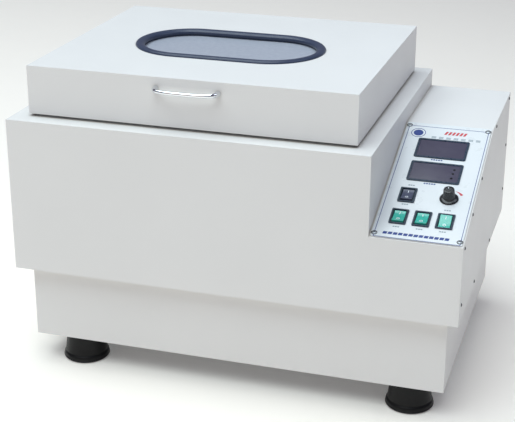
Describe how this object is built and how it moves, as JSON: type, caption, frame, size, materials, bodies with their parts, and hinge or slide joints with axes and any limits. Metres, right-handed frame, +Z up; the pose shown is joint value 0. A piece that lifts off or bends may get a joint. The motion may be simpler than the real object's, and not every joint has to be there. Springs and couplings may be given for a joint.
{
  "type": "shaking water bath",
  "caption": "Bench shaking water bath: stainless tank under a hinged box lid with an oval window, clamp platform on an orbital drive, sloping control panel at the right, base on rubber feet.",
  "frame": {"origin": "centre of the footprint's bounding box, at floor level under the feet", "axes": "+X to the right of a person facing the front, +Y to the rear, +Z up; the control panel is at +X and faces -Y"},
  "size_m": [0.7, 0.485, 0.4924],
  "materials": {
    "cabinet_paint": "gloss off-white powder coat",
    "stainless": "brushed",
    "zinc_hardware": "zinc plated",
    "dark_screws": "blackened",
    "handle_chrome": "polished",
    "foot_rubber": "matte",
    "gasket_rubber": "satin dark blue-grey",
    "seal_rubber": "matte",
    "window_glass": "frosted, slightly lavender",
    "panel_film": "satin white film on aluminium",
    "black_plastic": "satin black",
    "display_filter": "smoked",
    "switch_green": "translucent green",
    "knob_plastic": "matte black",
    "insulation_wool": "fibrous",
    "board_green": "solder mask",
    "nut_brass": "machined",
    "heater_sheath": "bead blasted",
    "cast_aluminium": "cast and machined",
    "weight_iron": "painted",
    "motor_paint": "grey paint",
    "belt_rubber": "matte",
    "bearing_steel": "ground"
  },
  "bodies": {
    "root": {"feet": "foot_rubber", "foot_bolts": "zinc_hardware", "base_casing": "cabinet_paint", "base_plate": "zinc_hardware", "base_plate_screws": "zinc_hardware", "body_casing": "cabinet_paint", "side_cover": "cabinet_paint", "side_cover_screws": "dark_screws", "rear_cover": "cabinet_paint", "rear_cover_screws": "dark_screws", "tank_liner": "stainless", "tank_insulation": "insulation_wool", "standpipe": "stainless", "heater_element": "heater_sheath", "bulkhead_nuts": "nut_brass", "temperature_probe": "stainless", "drain_pipe": "stainless", "hinge_deck_leaves": "stainless", "hinge_pins": "stainless", "panel_plate": "panel_film", "panel_screws": "dark_screws", "display_housings": "black_plastic", "display_windows": "display_filter", "switch_frames": "black_plastic", "speed_potentiometer": "zinc_hardware", "control_board": "board_green", "mains_inlet": "black_plastic", "bearing_housing": "cast_aluminium", "housing_bolts": "zinc_hardware", "shaft_bearings": "bearing_steel", "drive_belt": "belt_rubber", "motor": "motor_paint", "motor_bracket": "zinc_hardware", "idler_posts": "stainless"},
    "lid": {"lid_shell": "cabinet_paint", "lid_liner": "stainless", "lid_seal": "seal_rubber", "window_gasket": "gasket_rubber", "window_pane": "window_glass", "lid_handle": "handle_chrome", "handle_screws": "zinc_hardware", "hinge_lid_leaves": "stainless"},
    "power_rocker": {"power_rocker": "black_plastic"},
    "left_rocker": {"left_rocker": "switch_green"},
    "middle_rocker": {"middle_rocker": "switch_green"},
    "right_rocker": {"right_rocker": "switch_green"},
    "speed_knob": {"speed_knob": "knob_plastic"},
    "drain_cap": {"drain_cap": "black_plastic"},
    "crank": {"crankshaft": "bearing_steel", "counterweight": "weight_iron", "driven_pulley": "cast_aluminium"},
    "platform": {"platform_tray": "stainless", "platform_hub": "stainless", "hub_bearing": "bearing_steel", "flask_clamps": "stainless"},
    "motor_rotor": {"motor_shaft": "bearing_steel", "motor_pulley": "cast_aluminium"},
    "rear_left_idler": {"rear_left_idler": "stainless"},
    "front_left_idler": {"front_left_idler": "stainless"},
    "right_idler": {"right_idler": "stainless"}
  },
  "joints": [
    {"name": "lid_hinge", "type": "hinge", "parent": "root", "child": "lid", "pos_m": [-0.0683, 0.22, 0.4145], "axis": [-1, 0, 0], "range_deg": [0, 92]},
    {"name": "power_rocker_tip", "type": "hinge", "parent": "root", "child": "power_rocker", "pos_m": [0.2501, -0.14848, 0.31834], "axis": [1, 0, 0], "range_deg": [0, 14]},
    {"name": "left_rocker_tip", "type": "hinge", "parent": "root", "child": "left_rocker", "pos_m": [0.2476, -0.19556, 0.30209], "axis": [1, 0, 0], "range_deg": [0, 14]},
    {"name": "middle_rocker_tip", "type": "hinge", "parent": "root", "child": "middle_rocker", "pos_m": [0.2811, -0.19556, 0.30209], "axis": [1, 0, 0], "range_deg": [0, 14]},
    {"name": "right_rocker_tip", "type": "hinge", "parent": "root", "child": "right_rocker", "pos_m": [0.3146, -0.19556, 0.30209], "axis": [1, 0, 0], "range_deg": [-14, 0]},
    {"name": "speed_knob_turn", "type": "hinge", "parent": "root", "child": "speed_knob", "pos_m": [0.3111, -0.14853, 0.32308], "axis": [0, 0.3263, -0.9453], "range_deg": [0, 300]},
    {"name": "drain_cap_pull", "type": "slide", "parent": "root", "child": "drain_cap", "axis": [0, 1, 0], "range_m": [0, 0.03]},
    {"name": "crank_spin", "type": "hinge", "parent": "root", "child": "crank", "pos_m": [-0.0683, 0, 0.2], "axis": [0, 0, 1], "continuous": true},
    {"name": "platform_orbit", "type": "hinge", "parent": "crank", "child": "platform", "pos_m": [-0.0583, 0, 0.367], "axis": [0, 0, 1], "continuous": true},
    {"name": "rear_left_idler_spin", "type": "hinge", "parent": "root", "child": "rear_left_idler", "pos_m": [-0.2183, 0.105, 0.234], "axis": [0, 0, 1], "continuous": true},
    {"name": "front_left_idler_spin", "type": "hinge", "parent": "root", "child": "front_left_idler", "pos_m": [-0.2183, -0.105, 0.234], "axis": [0, 0, 1], "continuous": true},
    {"name": "right_idler_spin", "type": "hinge", "parent": "root", "child": "right_idler", "pos_m": [0.0817, 0, 0.234], "axis": [0, 0, 1], "continuous": true},
    {"name": "motor_spin", "type": "hinge", "parent": "root", "child": "motor_rotor", "pos_m": [0.1697, 0, 0.08], "axis": [0, 0, 1], "continuous": true}
  ],
  "couplings": [
    {"joint": "platform_orbit", "follows": "crank_spin", "ratio": -1},
    {"joint": "rear_left_idler_spin", "follows": "crank_spin", "ratio": 1},
    {"joint": "front_left_idler_spin", "follows": "crank_spin", "ratio": 1},
    {"joint": "right_idler_spin", "follows": "crank_spin", "ratio": 1},
    {"joint": "motor_spin", "follows": "crank_spin", "ratio": 3}
  ]
}
